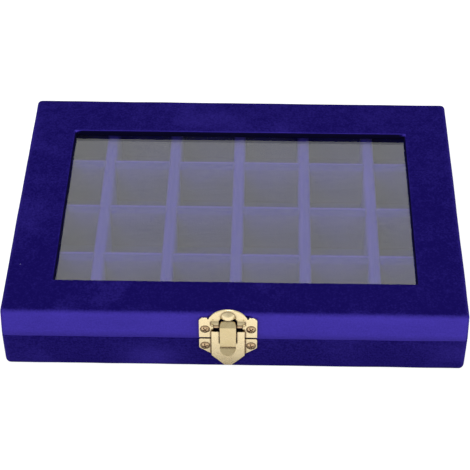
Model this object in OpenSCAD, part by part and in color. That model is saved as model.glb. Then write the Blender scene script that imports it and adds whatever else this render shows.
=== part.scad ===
// Ring display box: a velvet-covered board box with a glazed lid, a tray of ring
// cells, two butt hinges and a brass snap latch.
// Millimetres. X runs along the length, -Y is the latch side, +Z is up.
// The origin is at the centre of the underside.

/* [Box] */
// Length of the box at the seam
box_w = 200; // [170:1:260]
// Depth of the box at the seam
box_d = 151; // [130:1:200]
// Height of the base, from the table to its rim
base_h = 18; // [16:0.1:24]
// Height of the lid, from its rim to its top
lid_h = 14.1; // [13:0.1:22]
// Open line between the two rims
seam_gap = 0.3; // [0.2:0.05:0.5]

/* [Velvet] */
// Thickness of the velvet with its glue
velvet_t = 0.6; // [0.4:0.05:0.8]
// Extra fullness of the velvet at the rims, gone at the top and the bottom
velvet_slack = 0.35; // [0.2:0.05:0.5]
// Radius of the four upright corners
corner_r = 2.2; // [1.8:0.1:3]
// Radius of the roll round the top edge of the lid
lid_roll_r = 1.9; // [1.2:0.1:1.9]
// Radius of the roll round the bottom edge of the base
base_roll_r = 2.6; // [1.6:0.1:2.6]
// Small roll along both rims
rim_roll = 0.5; // [0.3:0.05:0.6]
// Width of the velvet turned under the base
hem_w = 13; // [8:1:20]
// Height of the hem above the table
hem_lift = 0.2; // [0.1:0.05:0.3]

/* [Boards] */
// Thickness of the lid walls
lid_wall_t = 3.9; // [3:0.1:5]
// Thickness of the bottom board
bottom_t = 2.5; // [2:0.1:4]
// Chamfer under the edge of the bottom board
bottom_chamfer = 0.8; // [0.6:0.1:1.2]
// Thickness of the window frame boards
rail_t = 2; // [1.5:0.1:3]
// Radius of the boards at the upright corners
board_r = 1.4; // [1:0.1:1.6]

/* [Window] */
// Velvet border beside the window
window_side = 21.5; // [16:0.1:30]
// Velvet border in front of the window
window_front = 20.8; // [16:0.1:30]
// Velvet border behind the window
window_back = 25.4; // [16:0.1:30]
// Thickness of the glass
glass_t = 1.8; // [1.5:0.1:2.2]
// Gap between the edge of the glass and the lid walls
glass_fit = 0.3; // [0.1:0.05:0.6]
// Thickness of the strips that carry the glass
strip_t = 1.5; // [1:0.1:3]

/* [Tray] */
// Clearance between the tray and the glazing strips as the lid swings
lid_play = 0.6; // [0.4:0.05:1]
// Thickness of the dividers
divider_t = 4.8; // [3:0.1:6]
// Thickness of the lining strips at the ends of the tray
liner_t = 2.4; // [1.5:0.1:3]
// Thickness of the lining strips at the front and the back of the tray
long_liner_t = 4.2; // [1.5:0.1:5]
// Thickness of the floor pad
pad_t = 1; // [0.6:0.1:2]
// Gap from the tops of the dividers to the glass
headroom = 1.6; // [0.4:0.1:2.5]
// Clearance of the half-lap joints and of the divider ends
divider_fit = 0.1; // [0.05:0.05:0.2]

/* [Hinges] */
// Distance of the middle of each hinge from the nearer end of the box
hinge_in = 38; // [30:1:60]
// Length of a hinge
hinge_w = 20; // [16:1:26]
// Height of a hinge leaf below or above the pin
leaf_h = 9.5; // [8.5:0.1:10.5]
// Thickness of a hinge leaf
leaf_t = 0.8; // [0.6:0.1:1]
// Distance of the hinge pin from the back of the box
hinge_out = 1.6; // [1.5:0.05:1.9]
// Outside radius of the knuckles
knuckle_r = 1.25; // [1.1:0.05:1.3]
// Radius of the hinge pins
hinge_pin_r = 0.6; // [0.5:0.05:0.7]
// Number of knuckles on a hinge
knuckles = 5; // [3:2:7]
// Gap between neighbouring knuckles
knuckle_gap = 0.2; // [0.1:0.05:0.4]
// Distance between the two screws of a leaf
leaf_screw_pitch = 11; // [8:0.5:12]
// Radius of the outer corners of a leaf
leaf_r = 1.2; // [0.6:0.1:1.8]

/* [Screws] */
// Radius of the screw shanks
screw_r = 0.8; // [0.7:0.05:0.9]
// Length of the screw shanks
screw_l = 4; // [3.5:0.1:4.5]
// Clearance round the shanks
screw_fit = 0.05; // [0.03:0.01:0.08]
// Radius of the round heads on the latch
latch_head_r = 1.9; // [1.7:0.05:2]
// Height of the round heads
latch_head_h = 0.75; // [0.6:0.05:0.9]
// Depth of the seat pressed round each latch screw
seat_depth = 0.2; // [0.1:0.05:0.3]
// Gap between a round head and the edge of its seat
seat_gap = 0.25; // [0.15:0.05:0.3]
// Radius of the countersunk heads on the hinges
leaf_head_r = 1.5; // [1.3:0.05:1.7]
// Height of the countersunk heads
leaf_head_h = 0.6; // [0.5:0.05:0.6]
// Width of the arms of the cross recesses
recess_w = 0.5; // [0.4:0.05:0.6]
// Depth of the cross recesses
recess_depth = 0.4; // [0.3:0.05:0.45]
// Clearance of a pin in the holes that hold it
pin_fit = 0.02; // [0.01:0.01:0.04]
// Clearance of a pin in the holes that turn on it
turn_fit = 0.06; // [0.04:0.01:0.1]

/* [Latch plates] */
// Place of the latch along the front, from the middle
latch_x = -2.6; // [-20:0.1:20]
// Thickness of the plate metal
plate_t = 0.7; // [0.5:0.05:0.8]
// Pile left between a plate and the box
plate_seat = 0.25; // [0.25:0.05:0.35]
// Half width of both plates
plate_half = 12.4; // [12.2:0.1:14]
// Height of the catch plate's lower edge above the seam
catch_bottom = 1.6; // [1.4:0.1:1.9]
// Height of the catch plate's ears above the seam
catch_ear_top = 12.5; // [12:0.1:14]
// Height of the catch plate's dome above the seam
catch_apex = 17.4; // [17.2:0.1:19]
// Radius of the dome
dome_r = 9.5; // [9.3:0.1:10.2]
// Height of the catch plate's screws above the seam
catch_screw_up = 6.4; // [6:0.1:9]
// Distance of the latch screws from the middle of the latch
latch_screw_x = 9.8; // [9.8:0.1:10.2]
// Height of the keeper plate's ears above the seam
keeper_top = 0.7; // [0.4:0.1:0.9]
// Depth of the keeper plate's ears below the seam
keeper_ear_drop = 4.9; // [4.6:0.1:5.4]
// Depth of the keeper screws below the seam
keeper_screw_drop = 3.3; // [2.4:0.1:3.4]
// Half width of the raised panel on the keeper plate
panel_half = 7.1; // [6.8:0.1:7.3]
// Height of the raised panel above the seam
panel_top = 5.75; // [5.4:0.05:6]
// Depth at which the panel starts to narrow to its point
panel_shoulder = 8.3; // [7.8:0.1:9]
// Depth of the point of the panel
panel_point = 14.1; // [13.6:0.1:14.6]
// Gap between the catch plate and the panel in front of it
panel_gap = 0.25; // [0.2:0.05:0.35]
// Half width of the blunt point of the panel
tip_half = 1.5; // [1.2:0.1:2]
// Height of the notch above the keeper's bar
bar_drop = 0.9; // [0.7:0.05:1.1]
// Height of the keeper's bar
bar_h = 2.1; // [1.8:0.05:2.4]
// Depth of the lower edge of the keyhole below the seam
keyhole_drop = 0.85; // [0.6:0.05:1.2]
// Cut across the corners of the keeper plate's ears
ear_cut = 0.5; // [0.3:0.05:0.8]
// Radius of the catch plate's ears
ear_r = 1.3; // [1:0.1:2.2]
// Radius of the notch between the dome and an ear
ear_notch_r = 0.4; // [0.3:0.05:0.8]
// Half width of the slot behind the pin
arm_half = 6.3; // [5.6:0.1:6.6]
// Overlap of the panel over the lower edge of that slot
slot_lap = 0.5; // [0.3:0.05:0.8]
// Height of metal left above the slot, down to the pin's middle
arm_rise = 1; // [0.8:0.05:1.3]
// Thickness of the lugs that carry the pin
lug_t = 0.7; // [0.5:0.05:0.8]
// Metal round the pin in the lugs
lug_wall = 0.35; // [0.3:0.05:0.5]
// Height above the pin at which the plate starts to slope out over it
louvre_rise = 2.7; // [2:0.1:3]
// Gap between the pin and the edge of the louvre over it
louvre_gap = 0.12; // [0.1:0.02:0.2]
// Radius of the hood pressed out above the lever
hood_r = 3.65; // [3.2:0.05:3.8]
// Depth of the middle of the hood behind the face of the box
hood_sink = 0.9; // [0.8:0.05:1.1]
// Straight part of the hood below its round top
hood_straight = 0.5; // [0.1:0.1:1.2]
// Gap between the top of the lever and the hood
hood_gap = 0.35; // [0.3:0.05:0.5]

/* [Latch lever] */
// Width of the lever
lever_w = 6.9; // [6:0.1:7.2]
// Distance of the lever's face from the box
lever_face = 4.2; // [4.1:0.05:4.6]
// Thickness of the lever's walls
lever_t = 0.9; // [0.7:0.05:1]
// Radius of the lever pin
lever_pin_r = 0.6; // [0.5:0.05:0.7]
// Height of the lever pin above the seam
lever_pin_up = 9.45; // [9.3:0.05:9.6]
// Distance of the lever pin from the box
lever_pin_out = 2.4; // [2.4:0.05:2.6]
// Height of the lever's tail above its pin
tail_up = 3.3; // [2.6:0.05:3.4]
// Radius of the lever's upper corners
tail_r = 2.4; // [1.6:0.1:2.8]
// Thickness of the lever's upper edge
tail_edge = 0.4; // [0.3:0.05:0.5]
// Height above the pin at which the lever's face starts to slope back
face_up = 0.7; // [0.3:0.05:0.8]
// Metal round the pin in the lever
hub_wall = 0.85; // [0.7:0.05:0.95]
// Gap beside the lever in the slot and the keyhole
lever_gap = 0.4; // [0.35:0.05:0.6]
// Gap between the lever and the panel behind it
cheek_gap = 0.3; // [0.25:0.05:0.4]
// Half width of the hook
hook_half = 2; // [1.5:0.1:2.4]
// Height of the hook at its root
hook_h = 1.8; // [1.4:0.1:2.2]
// Gap between the hook and the bar
hook_gap = 0.35; // [0.25:0.05:0.45]
// Depth of the crease above the finger lip, below the seam
crease_drop = 1.15; // [0.5:0.05:2]
// Straight part of the finger lip, before its round end
lip_straight = 0.3; // [0.2:0.1:1.5]
// Outward slope of the finger lip
lip_angle = 45; // [30:1:50]

/* [Hidden] */
$fn = 48;
HULL_FN = 32;
CUT = 0.1;
// Cells along the length and the depth, one named divider between each two
CELLS_X = 6;
CELLS_Y = 4;

velvet_blue = [0.16, 0.12, 0.48];
velvet_dark = [0.11, 0.08, 0.38];
card_grey = [0.62, 0.58, 0.52];
glass_tint = [0.75, 0.82, 0.85, 0.35];
brass_pale = [0.86, 0.77, 0.62];
brass_pin = [0.70, 0.58, 0.40];
paper_black = [0.10, 0.10, 0.12];

// Heights
seam_z = base_h + seam_gap / 2;
lid_z = base_h + seam_gap;
lid_top = lid_z + lid_h;
foot_z = hem_lift + velvet_t;
floor_z = foot_z + bottom_t;
pad_top = floor_z + pad_t;
wall_top = base_h - velvet_t;
lid_wall_z = lid_z + velvet_t;
rail_top = lid_top - velvet_t;
rail_z = rail_top - rail_t;
glass_z = rail_z - glass_t;
tray_top = glass_z - headroom;

// Distances in from the outside of the box
skin = velvet_t + velvet_slack;
lid_wall_in = skin + lid_wall_t;
strip_in = lid_wall_in + strip_t;
side_rail_depth = window_side - velvet_t - skin;
function rail_depth(side) = (side < 0 ? window_front : window_back) - velvet_t - skin;

// Base wall, set in far enough for the front strip to swing up past the tray
swing_r = box_d - strip_in + hinge_out;
swing_rise = tray_top - lid_wall_z;
swing_in = swing_r - sqrt(swing_r * swing_r - swing_rise * swing_rise);
lining_in = strip_in + swing_in + lid_play;
liner_in = lining_in + liner_t;
long_liner_in = lining_in + long_liner_t;
base_wall_t = lining_in - velvet_t - skin;

// Tray
tray_w = box_w - 2 * liner_in;
tray_d = box_d - 2 * long_liner_in;
pitch_x = (tray_w + liner_t) / CELLS_X;
pitch_y = (tray_d + liner_t) / CELLS_Y;
lap_z = (pad_top + tray_top) / 2;
columns = [for (i = [1 : CELLS_X - 1]) i * pitch_x - (tray_w + liner_t) / 2];
rows = [for (i = [1 : CELLS_Y - 1]) i * pitch_y - (tray_d + liner_t) / 2];

// Hinge
hinge_x = box_w / 2 - hinge_in;
knuckle_l = (hinge_w - (knuckles - 1) * knuckle_gap) / knuckles;

// Latch
plate_face = plate_seat + plate_t;
seat_face = plate_face - seat_depth;
panel_back = plate_face + panel_gap;
panel_face = panel_back + plate_t;
dome_z = catch_apex - dome_r;
dome_foot = sqrt(dome_r * dome_r - (catch_ear_top - dome_z) * (catch_ear_top - dome_z));
arm_bottom = panel_top - slot_lap;
arm_top = lever_pin_up - arm_rise;
lug_r = lever_pin_r + lug_wall;
lug_x = arm_half + lug_t / 2;
hub_r = lever_pin_r + hub_wall;
tail_top = lever_pin_up + tail_up;
hood_bottom = tail_top + hood_gap;
bar_top = panel_top - bar_drop;
bar_bottom = bar_top - bar_h;
keyhole_half = lever_w / 2 + lever_gap;
hook_top = bar_bottom - hook_gap;
lever_back = lever_face - lever_t;
cheek_back = panel_face + cheek_gap;
lip_r = lever_w / 2;

// ---------- Frames of reference ----------

// Front face at the seam: x across, y up, z out from the box
module at_latch() {
    translate([latch_x, -box_d / 2, seam_z]) rotate([90, 0, 0]) children();
}

// Hinge on the back: x along the pin, y up, z out from the box
module at_hinge(side) {
    translate([side * hinge_x, box_d / 2, seam_z]) rotate([90, 0, 180]) children();
}

// Front as drawn for side -1, mirrored to the back for side 1
module front_or_back(side) {
    if (side > 0) mirror([0, 1, 0]) children();
    else children();
}

// ---------- Boards ----------

// Board along the front, with its two outer upright corners rounded
module long_board(depth, z0, z1) {
    half = box_w / 2 - skin;
    translate([0, skin - box_d / 2, z0]) linear_extrude(z1 - z0) {
        translate([-half, board_r]) square([2 * half, depth - board_r]);
        translate([board_r - half, 0]) square([2 * (half - board_r), 2 * board_r]);
        for (s = [-1, 1]) translate([s * (half - board_r), board_r]) circle(board_r);
    }
}

// Board along one end, between boards of the given depths at the front and the back
module end_board(side, depth, front, back, z0, z1) {
    length = box_d - 2 * skin - front - back;
    x = side < 0 ? skin - box_w / 2 : box_w / 2 - skin - depth;
    translate([x, skin + front - box_d / 2, z0]) cube([depth, length, z1 - z0]);
}

// Everything inside the outer faces of the walls
module inside_walls(z0, z1) {
    w = box_w - 2 * skin;
    d = box_d - 2 * skin;
    translate([0, 0, z0]) linear_extrude(z1 - z0) {
        square([w - 2 * board_r, d], center = true);
        square([w, d - 2 * board_r], center = true);
        for (sx = [-1, 1], sy = [-1, 1])
            translate([sx * (w / 2 - board_r), sy * (d / 2 - board_r)]) circle(board_r);
    }
}

// Block as wide as the box less `inset` on each side
module block(inset, z0, z1) {
    w = box_w - 2 * inset;
    d = box_d - 2 * inset;
    translate([-w / 2, -d / 2, z0]) cube([w, d, z1 - z0]);
}

// Bottom board, chamfered under its edge
module bottom_blank() {
    hull() for (sx = [-1, 1], sy = [-1, 1]) {
        x = box_w / 2 - skin - board_r;
        y = box_d / 2 - skin - board_r;
        translate([sx * x, sy * y, foot_z + bottom_chamfer])
            cylinder(r = board_r, h = bottom_t - bottom_chamfer, $fn = HULL_FN);
        translate([sx * (x - bottom_chamfer), sy * (y - bottom_chamfer), foot_z])
            cylinder(r = board_r, h = bottom_t, $fn = HULL_FN);
    }
}

// The four boards that frame the window
module lid_rails() {
    for (s = [-1, 1]) {
        front_or_back(s) long_board(rail_depth(s), rail_z, rail_top);
        end_board(s, side_rail_depth, rail_depth(-1), rail_depth(1), rail_z, rail_top);
    }
}

// ---------- Velvet ----------

// Outer form of the velvet with its rim at z = 0 and its rolled edge at z = height
module velvet_form(height, roll_r) {
    x = box_w / 2;
    y = box_d / 2;
    hull() for (sx = [-1, 1], sy = [-1, 1]) {
        translate([sx * (x - velvet_slack - roll_r), sy * (y - velvet_slack - roll_r), height - roll_r])
            sphere(roll_r, $fn = HULL_FN);
        translate([sx * (x - corner_r), sy * (y - corner_r), 0])
            cylinder(r1 = corner_r - rim_roll, r2 = corner_r, h = rim_roll, $fn = HULL_FN);
    }
}

module base_velvet_cover() color(velvet_blue) difference() {
    translate([0, 0, base_h]) mirror([0, 0, 1]) velvet_form(base_h - hem_lift, base_roll_r);
    inside_walls(floor_z, wall_top);
    bottom_blank();
    block(lining_in, wall_top - CUT, base_h + CUT);
    block(hem_w, -CUT, foot_z + CUT);
    keeper_screw_holes();
    for (s = [-1, 1]) at_hinge(s) leaf_screw_holes(-1);
}

module lid_velvet_cover() color(velvet_blue) difference() {
    translate([0, 0, lid_z]) velvet_form(lid_h, lid_roll_r);
    inside_walls(lid_wall_z, rail_z);
    lid_rails();
    block(strip_in, lid_z - CUT, lid_wall_z + CUT);
    window(lid_wall_z, lid_top + CUT);
    catch_screw_holes();
    for (s = [-1, 1]) at_hinge(s) leaf_screw_holes(1);
}

// Opening of the window
module window(z0, z1) {
    w = box_w - 2 * window_side;
    d = box_d - window_front - window_back;
    translate([-w / 2, window_front - box_d / 2, z0]) cube([w, d, z1 - z0]);
}

module base_underside_sheet() color(paper_black) block(hem_w + divider_fit, 0, foot_z);

// ---------- Base ----------

module base_wall_ends(side) color(card_grey) difference() {
    front_or_back(side) long_board(base_wall_t, floor_z, wall_top);
    keeper_screw_holes();
    for (s = [-1, 1]) at_hinge(s) leaf_screw_holes(-1);
}

module base_wall_sides(side) color(card_grey)
    end_board(side, base_wall_t, base_wall_t, base_wall_t, floor_z, wall_top);

module base_bottom_board() color(card_grey) bottom_blank();

// ---------- Tray ----------

module tray_floor_pad() color(velvet_dark) block(lining_in + divider_fit, floor_z, pad_top);

// Lining strip at the front or the back, full length
module tray_liner_long(side) color(velvet_dark) front_or_back(side)
    translate([divider_fit + lining_in - box_w / 2, lining_in - box_d / 2 + divider_fit, pad_top])
        cube([box_w - 2 * (lining_in + divider_fit), long_liner_t - divider_fit, tray_top - pad_top]);

// Lining strip at one end, between the long ones
module tray_liner_short(side) color(velvet_dark) {
    x = side < 0 ? lining_in + divider_fit - box_w / 2 : box_w / 2 - liner_in;
    translate([x, -tray_d / 2, pad_top]) cube([liner_t - divider_fit, tray_d, tray_top - pad_top]);
}

// Divider of a given length along X, with a fully rounded top
module divider_blank(length) {
    translate([-length / 2, -divider_t / 2, pad_top])
        cube([length, divider_t, tray_top - divider_t / 2 - pad_top]);
    translate([-length / 2, 0, tray_top - divider_t / 2]) rotate([0, 90, 0])
        cylinder(r = divider_t / 2, h = length);
}

// Row divider: runs along X and is slotted from above where the columns cross it
module row_divider(i) color(velvet_blue) difference() {
    translate([0, rows[i], 0]) divider_blank(tray_w - 2 * divider_fit);
    for (x = columns)
        translate([x - divider_t / 2 - divider_fit, rows[i] - divider_t / 2 - CUT, lap_z])
            cube([divider_t + 2 * divider_fit, divider_t + 2 * CUT, tray_top - lap_z + CUT]);
}

// Column divider: runs along Y and is slotted from below where it crosses the rows
module column_divider(i) color(velvet_blue) difference() {
    translate([columns[i], 0, 0]) rotate(90) divider_blank(tray_d - 2 * divider_fit);
    for (y = rows)
        translate([columns[i] - divider_t / 2 - CUT, y - divider_t / 2 - divider_fit, pad_top - CUT])
            cube([divider_t + 2 * CUT, divider_t + 2 * divider_fit, lap_z + divider_fit - pad_top + CUT]);
}

// ---------- Lid ----------

module lid_wall_ends(side) color(card_grey) difference() {
    front_or_back(side) long_board(lid_wall_t, lid_wall_z, rail_z);
    catch_screw_holes();
    for (s = [-1, 1]) at_hinge(s) leaf_screw_holes(1);
}

module lid_wall_sides(side) color(card_grey)
    end_board(side, lid_wall_t, lid_wall_t, lid_wall_t, lid_wall_z, rail_z);

module lid_rail_long(side) color(card_grey)
    front_or_back(side) long_board(rail_depth(side), rail_z, rail_top);

module lid_rail_short(side) color(card_grey)
    end_board(side, side_rail_depth, rail_depth(-1), rail_depth(1), rail_z, rail_top);

module glass_pane() color(glass_tint) block(lid_wall_in + glass_fit, glass_z, rail_z);

module glazing_strip_long(side) color(velvet_dark) front_or_back(side)
    translate([lid_wall_in - box_w / 2, lid_wall_in - box_d / 2, lid_wall_z])
        cube([box_w - 2 * lid_wall_in, strip_t, glass_z - lid_wall_z]);

module glazing_strip_short(side) color(velvet_dark) {
    x = side < 0 ? lid_wall_in - box_w / 2 : box_w / 2 - strip_in;
    translate([x, strip_in - box_d / 2, lid_wall_z])
        cube([strip_t, box_d - 2 * strip_in, glass_z - lid_wall_z]);
}

// ---------- Screws ----------

// Threaded shank pointing in to the box from z = 0
module shank(fit = 0) {
    point = screw_r * 1.5;
    translate([0, 0, point - screw_l]) cylinder(r = screw_r + fit, h = screw_l - point);
    translate([0, 0, -screw_l]) cylinder(r1 = fit, r2 = screw_r + fit, h = point);
}

// Cross recess cut in to a head whose top is at z = 0
module cross_recess(length) {
    for (a = [0, 90])
        rotate(a) translate([-length / 2, -recess_w / 2, -recess_depth])
            cube([length, recess_w, recess_depth + CUT]);
}

// Round-headed screw, its head seated on z = 0
module round_screw(turn) {
    ball = (latch_head_r * latch_head_r + latch_head_h * latch_head_h) / (2 * latch_head_h);
    difference() {
        rotate_extrude() intersection() {
            translate([0, latch_head_h - ball]) circle(ball);
            square([latch_head_r, latch_head_h]);
        }
        translate([0, 0, latch_head_h]) rotate(turn) cross_recess(1.3 * latch_head_r);
    }
    shank();
}

// Countersunk screw, its head flush with z = 0
module flat_screw(turn) {
    difference() {
        translate([0, 0, -leaf_head_h]) cylinder(r1 = screw_r, r2 = leaf_head_r, h = leaf_head_h);
        rotate(turn) cross_recess(1.2 * leaf_head_r);
    }
    translate([0, 0, -leaf_head_h]) shank();
}

// ---------- Hinges ----------

// Spots of the two screws of a leaf; end is -1 for the base leaf and 1 for the lid leaf
module leaf_screw_spots(end) {
    for (s = [-1, 1])
        translate([s * leaf_screw_pitch / 2, end * (leaf_h + hinge_out) / 2, leaf_t]) children();
}

module leaf_screw_holes(end) {
    leaf_screw_spots(end) translate([0, 0, -leaf_head_h]) shank(screw_fit);
}

// Centre of knuckle i along the pin
function knuckle_x(i) = (i - (knuckles - 1) / 2) * (knuckle_l + knuckle_gap);

// Leaf with the knuckles numbered first, first + 2, ... drawn on its lid side
module hinge_leaf(first, bore) {
    corner_x = hinge_w / 2 - leaf_r;
    difference() {
        union() {
            linear_extrude(leaf_t) {
                translate([-hinge_w / 2, hinge_out]) square([hinge_w, leaf_h - hinge_out - leaf_r]);
                translate([-corner_x, hinge_out]) square([2 * corner_x, leaf_h - hinge_out]);
                for (s = [-1, 1]) translate([s * corner_x, leaf_h - leaf_r]) circle(leaf_r);
            }
            for (i = [first : 2 : knuckles - 1]) translate([knuckle_x(i) - knuckle_l / 2, 0, 0]) {
                translate([0, 0, hinge_out]) rotate([0, 90, 0]) cylinder(r = knuckle_r, h = knuckle_l);
                translate([0, seam_gap, 0]) cube([knuckle_l, hinge_out, leaf_t]);
            }
        }
        translate([-hinge_w, 0, hinge_out]) rotate([0, 90, 0]) cylinder(r = bore, h = 2 * hinge_w);
        leaf_screw_spots(1) {
            translate([0, 0, -leaf_t - CUT]) cylinder(r = screw_r + screw_fit, h = leaf_t + 2 * CUT);
            translate([0, 0, -leaf_head_h])
                cylinder(r1 = screw_r + screw_fit, r2 = leaf_head_r + screw_fit, h = leaf_head_h);
        }
    }
}

module hinge_base_leaf(side) color(brass_pale)
    at_hinge(side) mirror([0, 1, 0]) hinge_leaf(0, hinge_pin_r + pin_fit);

module hinge_lid_leaf(side) color(brass_pale)
    at_hinge(side) hinge_leaf(1, hinge_pin_r + turn_fit);

module hinge_pin(side) color(brass_pin)
    at_hinge(side) translate([-hinge_w / 2, 0, hinge_out]) rotate([0, 90, 0])
        cylinder(r = hinge_pin_r, h = hinge_w);

module hinge_screws(end) color(brass_pin)
    for (s = [-1, 1]) at_hinge(s) leaf_screw_spots(end) flat_screw(20 + 30 * s);

// ---------- Latch: plates ----------

module catch_screw_spots() {
    for (s = [-1, 1]) translate([s * latch_screw_x, catch_screw_up, seat_face]) children();
}

module keeper_screw_spots() {
    for (s = [-1, 1]) translate([s * latch_screw_x, -keeper_screw_drop, seat_face]) children();
}

// Seat and hole for a round-headed screw in a plate
module screw_seat() {
    translate([0, 0, -2 * plate_t]) cylinder(r = screw_r + screw_fit, h = 3 * plate_t);
    cylinder(r = latch_head_r + seat_gap, h = plate_t);
}

module catch_screw_holes() at_latch() catch_screw_spots() shank(screw_fit);
module keeper_screw_holes() at_latch() keeper_screw_spots() shank(screw_fit);

// Outline of the catch plate: square ears under a round dome
module catch_outline() {
    w = 2 * plate_half;
    h = catch_ear_top - catch_bottom;
    corner_x = plate_half - ear_r;
    difference() {
        union() {
            translate([-plate_half, catch_bottom]) square([w, h - ear_r]);
            translate([-corner_x, catch_bottom]) square([2 * corner_x, h]);
            for (s = [-1, 1]) translate([s * corner_x, catch_ear_top - ear_r]) circle(ear_r);
            intersection() {
                translate([0, dome_z]) circle(dome_r, $fn = 96);
                translate([-plate_half, catch_bottom]) square([w, catch_apex]);
            }
        }
        for (s = [-1, 1]) translate([s * (dome_foot + ear_notch_r / 2), catch_ear_top]) circle(ear_notch_r);
        lever_outline(arm_bottom, lever_gap, hood_gap);
        translate([-arm_half, arm_bottom]) square([2 * arm_half, arm_top - arm_bottom]);
    }
}

// Hood pressed out above the lever: a half round with a ball end, sunk in to the plate
module hood(extra) {
    translate([0, hood_bottom, -hood_sink]) {
        rotate([-90, 0, 0]) cylinder(r = hood_r + extra, h = hood_straight);
        translate([0, hood_straight, 0]) sphere(hood_r + extra);
    }
}

// Lug folded out of the plate to carry one end of the lever pin
module pin_lug(side) {
    translate([side * lug_x, 0, 0]) across(lug_t) difference() {
        union() {
            translate([lever_pin_out, lever_pin_up]) circle(lug_r);
            translate([plate_face - plate_t / 2, lever_pin_up - lug_r])
                square([lever_pin_out - plate_face + plate_t / 2, 2 * lug_r]);
        }
        translate([lever_pin_out, lever_pin_up]) circle(lever_pin_r + pin_fit);
    }
}

// Louvre pressed out of the plate over one end of the pin
module pin_louvre(side) {
    edge = lever_pin_up + lever_pin_r + louvre_gap;
    start = lever_pin_up + louvre_rise;
    root = plate_face - plate_t / 2;
    inner = keyhole_half + louvre_gap;
    outer = lug_x + lug_t / 2 + louvre_gap;
    translate([side * (inner + outer) / 2, 0, 0]) across(outer - inner) polygon([
        [root, start], [lever_pin_out, edge], [lever_pin_out - plate_t, edge], [root, start - 2 * plate_t]
    ]);
}

module latch_catch_plate() color(brass_pale) at_latch() {
    difference() {
        union() {
            translate([0, 0, plate_seat]) linear_extrude(plate_t) catch_outline();
            intersection() {
                hood(0);
                translate([-hood_r, hood_bottom, plate_seat]) cube(2 * hood_r);
            }
        }
        hood(-plate_t);
        catch_screw_spots() screw_seat();
    }
    for (s = [-1, 1]) {
        pin_lug(s);
        pin_louvre(s);
    }
}

// Outline of the raised panel, drawn in by `inset`
module panel_outline(inset, top) {
    half = panel_half - inset;
    tip = tip_half - inset / 2;
    polygon([
        [-half, top], [half, top], [half, inset / 2 - panel_shoulder],
        [tip, inset - panel_point], [-tip, inset - panel_point], [-half, inset / 2 - panel_shoulder]
    ]);
}

// Outline of the ears of the keeper plate, cut across at their outer corners
module keeper_ears() {
    for (s = [0, 1]) mirror([s, 0]) polygon([
        [0, keeper_top], [plate_half - ear_cut, keeper_top], [plate_half, keeper_top - ear_cut],
        [plate_half, ear_cut - keeper_ear_drop], [plate_half - ear_cut, -keeper_ear_drop],
        [panel_half, -panel_shoulder], [0, -panel_shoulder]
    ]);
}

// Keeper plate: two ears and a pressed-out panel with the bar that the lever hooks under
module latch_keeper_plate() color(brass_pale) at_latch() difference() {
    union() {
        translate([0, 0, plate_seat]) linear_extrude(plate_t) keeper_ears();
        translate([0, 0, plate_seat]) linear_extrude(panel_face - plate_seat) panel_outline(0, keeper_top);
        translate([0, 0, panel_back]) linear_extrude(plate_t) panel_outline(0, panel_top);
    }
    translate([0, 0, plate_seat - CUT])
        linear_extrude(panel_back - plate_seat + CUT) panel_outline(plate_t, keeper_top + CUT);
    translate([-keyhole_half, bar_top, 0]) cube([2 * keyhole_half, panel_top, 2 * panel_face]);
    translate([-keyhole_half, -keyhole_drop, 0])
        cube([2 * keyhole_half, bar_bottom + keyhole_drop, 2 * panel_face]);
    keeper_screw_spots() screw_seat();
}

module latch_catch_screws() color(brass_pin) at_latch() catch_screw_spots() round_screw(35);
module latch_keeper_screws() color(brass_pin) at_latch() keeper_screw_spots() round_screw(15);

module latch_pin() color(brass_pin) at_latch()
    across(2 * lug_x + lug_t) translate([lever_pin_out, lever_pin_up]) circle(lever_pin_r);

// ---------- Latch: lever ----------

// Extrude an outline of [out, up] points to a centred width across the latch
module across(width) {
    rotate([0, -90, 0]) translate([0, 0, -width / 2]) linear_extrude(width) children();
}

// Side view of the lever before it is hollowed, down to the bend of the finger lip
module lever_side() {
    polygon([
        [lever_pin_out - tail_edge / 2, tail_top], [lever_pin_out + tail_edge / 2, tail_top],
        [lever_face, lever_pin_up + face_up], [lever_face, -crease_drop],
        [lever_face - lever_t * cos(lip_angle), -crease_drop - lever_t * sin(lip_angle)],
        [lever_back, -crease_drop - lever_t * tan(lip_angle / 2)],
        [cheek_back, lever_t / 2 - crease_drop], [cheek_back, lever_pin_up]
    ]);
    translate([lever_pin_out, lever_pin_up]) circle(hub_r);
}

// Side view of the hollow behind the lever's face
module lever_hollow() {
    low = -crease_drop - lever_t * tan(lip_angle / 2);
    polygon([
        [0, low], [lever_back, low], [lever_back, lever_pin_up],
        [lever_pin_out, tail_top - 1.5 * lever_t], [0, tail_top - 1.5 * lever_t]
    ]);
}

// Front view of the lever from a lower end up, arched at its top, with a gap beside and above it
module lever_outline(low, beside, above) {
    half = lever_w / 2 + beside;
    top = tail_top + above;
    translate([-half, low]) square([2 * half, top - tail_r - low]);
    translate([tail_r - half, low]) square([2 * (half - tail_r), top - low]);
    for (s = [-1, 1]) translate([s * (half - tail_r), top - tail_r]) circle(tail_r);
}

// Finger lip: a sloping tongue with a half-round end
module finger_lip() {
    reach = lip_straight + lip_r;
    translate([0, -crease_drop, lever_face]) rotate([-lip_angle, 0, 0])
        translate([0, 0, -lever_t]) linear_extrude(lever_t) {
            translate([-lip_r, -lip_straight]) square([2 * lip_r, lip_straight]);
            intersection() {
                translate([0, -lip_straight]) circle(lip_r);
                translate([-lip_r, -reach]) square([2 * lip_r, reach]);
            }
        }
}

// Nose behind the face that snaps under the keeper's bar
module hook() {
    across(2 * hook_half) polygon([
        [lever_back, hook_top], [panel_back, hook_top], [panel_back, hook_top - hook_h / 2],
        [lever_back, hook_top - hook_h]
    ]);
}

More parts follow.
